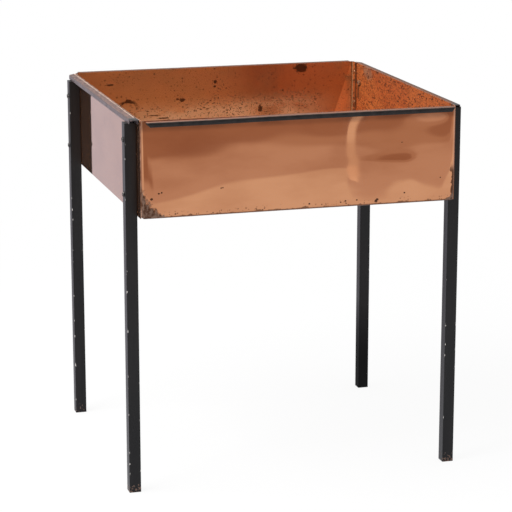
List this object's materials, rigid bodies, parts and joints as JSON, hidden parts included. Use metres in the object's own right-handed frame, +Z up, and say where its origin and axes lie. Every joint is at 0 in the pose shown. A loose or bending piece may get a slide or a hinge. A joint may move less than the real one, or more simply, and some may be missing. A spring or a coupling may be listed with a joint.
{
  "type": "flower table",
  "caption": "Open copper tray hung between square black-painted steel legs, with folded black strips round its rim; a stand that holds flower pots.",
  "frame": {"origin": "on the floor, under the middle of the tray", "axes": "+X to the right along the front, +Y to the back, +Z up"},
  "size_m": [0.5052, 0.481, 0.548],
  "materials": {
    "copper": "polished copper sheet, tarnished",
    "black_paint": "semi-gloss black",
    "steel": "plain steel, rusty"
  },
  "bodies": {
    "root": {"tray_pan": "copper", "end_panel_left": "copper", "end_panel_right": "copper", "corner_rivets": "copper", "rim_strip_front": "black_paint", "rim_strip_back": "black_paint", "rim_strip_left": "black_paint", "rim_strip_right": "black_paint", "leg_front_left": "black_paint", "leg_front_right": "black_paint", "leg_back_left": "black_paint", "leg_back_right": "black_paint", "leg_screws": "black_paint", "leg_nuts": "steel"}
  },
  "joints": []
}
